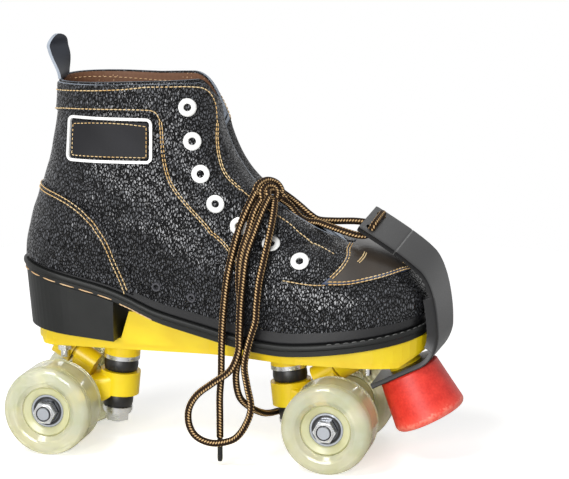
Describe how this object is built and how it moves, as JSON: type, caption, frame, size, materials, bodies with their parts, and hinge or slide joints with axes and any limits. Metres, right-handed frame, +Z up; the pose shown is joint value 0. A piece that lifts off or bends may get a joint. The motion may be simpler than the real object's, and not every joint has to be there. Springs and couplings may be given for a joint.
{
  "type": "roller skate",
  "caption": "High leather boot on a moulded plate with two sprung steering trucks, soft rolling wheels, a toe strap held by the lace and a rubber toe stop.",
  "frame": {"origin": "on the ground, below the middle of the overall length and width, measured without the lace", "axes": "+X points to the toe, +Y to the wearer's left, +Z up"},
  "size_m": [0.2946, 0.115, 0.2695],
  "materials": {
    "black_leather": "tumbled grain, semi-gloss",
    "dark_brown_leather": "smooth, matte",
    "brown_lining": "perforated, matte",
    "tan_insole": "matte",
    "black_rubber": "matte",
    "navy_leather": "smooth, matte",
    "patch_leather": "smooth, matte",
    "white_plastic": "gloss",
    "white_enamel": "gloss enamel",
    "black_enamel": "gloss enamel",
    "lace_weave": "round braid, dark brown with gold stripes",
    "aglet_plastic": "gloss",
    "yellow_nylon": "semi-gloss",
    "zinc_steel": "zinc plated",
    "bearing_steel": "polished",
    "strap_leather": "smooth, matte",
    "red_rubber": "matte",
    "cushion_rubber": "matte",
    "clear_urethane": "translucent, gloss",
    "pale_urethane_hub": "translucent, gloss"
  },
  "bodies": {
    "boot": {"upper": "black_leather", "lining": "brown_lining", "tongue": "black_leather", "insole": "tan_insole", "outsole": "black_rubber", "heel_block": "black_rubber", "heel_counter": "black_leather", "collar_band": "black_leather", "eyestay_right": "black_leather", "eyestay_left": "black_leather", "vamp_patch": "dark_brown_leather", "pull_tab": "navy_leather", "side_patch": "patch_leather", "side_patch_frame": "white_plastic", "eyelets": "white_enamel", "vent_eyelets": "black_enamel", "lace_knot": "lace_weave", "lace_bow": "lace_weave", "lace_near_tail": "lace_weave", "lace_far_tail": "lace_weave", "lace_strap_run": "lace_weave", "lace_aglets": "aglet_plastic", "plate": "yellow_nylon", "plate_bolts": "zinc_steel", "plate_nuts": "zinc_steel", "toe_strap": "strap_leather", "toe_stop": "red_rubber", "toe_stop_bolt": "zinc_steel", "front_kingpin": "zinc_steel", "front_kingpin_nut": "zinc_steel", "front_cushion_washers": "zinc_steel", "front_upper_cushion": "cushion_rubber", "front_lower_cushion": "cushion_rubber", "front_pivot_cup": "cushion_rubber", "rear_kingpin": "zinc_steel", "rear_kingpin_nut": "zinc_steel", "rear_cushion_washers": "zinc_steel", "rear_upper_cushion": "cushion_rubber", "rear_lower_cushion": "cushion_rubber", "rear_pivot_cup": "cushion_rubber"},
    "front_truck": {"front_hanger": "yellow_nylon", "front_axle": "zinc_steel", "front_axle_nuts": "zinc_steel", "front_inner_races": "bearing_steel"},
    "rear_truck": {"rear_hanger": "yellow_nylon", "rear_axle": "zinc_steel", "rear_axle_nuts": "zinc_steel", "rear_inner_races": "bearing_steel"},
    "front_right_wheel": {"front_right_tyre": "clear_urethane", "front_right_hub": "pale_urethane_hub", "front_right_bearings": "bearing_steel"},
    "front_left_wheel": {"front_left_tyre": "clear_urethane", "front_left_hub": "pale_urethane_hub", "front_left_bearings": "bearing_steel"},
    "rear_right_wheel": {"rear_right_tyre": "clear_urethane", "rear_right_hub": "pale_urethane_hub", "rear_right_bearings": "bearing_steel"},
    "rear_left_wheel": {"rear_left_tyre": "clear_urethane", "rear_left_hub": "pale_urethane_hub", "rear_left_bearings": "bearing_steel"}
  },
  "joints": [
    {"name": "front_steer", "type": "hinge", "parent": "boot", "child": "front_truck", "pos_m": [0.0344, 0, 0.0392], "axis": [0.848, 0, 0.5299], "range_deg": [-7, 7], "stiffness_Nm_per_rad": 25, "deforming": ["front_upper_cushion", "front_lower_cushion"]},
    {"name": "rear_steer", "type": "hinge", "parent": "boot", "child": "rear_truck", "pos_m": [-0.0836, 0, 0.0392], "axis": [-0.848, 0, 0.5299], "range_deg": [-7, 7], "stiffness_Nm_per_rad": 25, "deforming": ["rear_upper_cushion", "rear_lower_cushion"]},
    {"name": "front_right_roll", "type": "hinge", "parent": "front_truck", "child": "front_right_wheel", "pos_m": [0.0681, -0.038, 0.029], "axis": [0, 1, 0], "continuous": true},
    {"name": "front_left_roll", "type": "hinge", "parent": "front_truck", "child": "front_left_wheel", "pos_m": [0.0681, 0.038, 0.029], "axis": [0, 1, 0], "continuous": true},
    {"name": "rear_right_roll", "type": "hinge", "parent": "rear_truck", "child": "rear_right_wheel", "pos_m": [-0.1173, -0.038, 0.029], "axis": [0, 1, 0], "continuous": true},
    {"name": "rear_left_roll", "type": "hinge", "parent": "rear_truck", "child": "rear_left_wheel", "pos_m": [-0.1173, 0.038, 0.029], "axis": [0, 1, 0], "continuous": true}
  ]
}
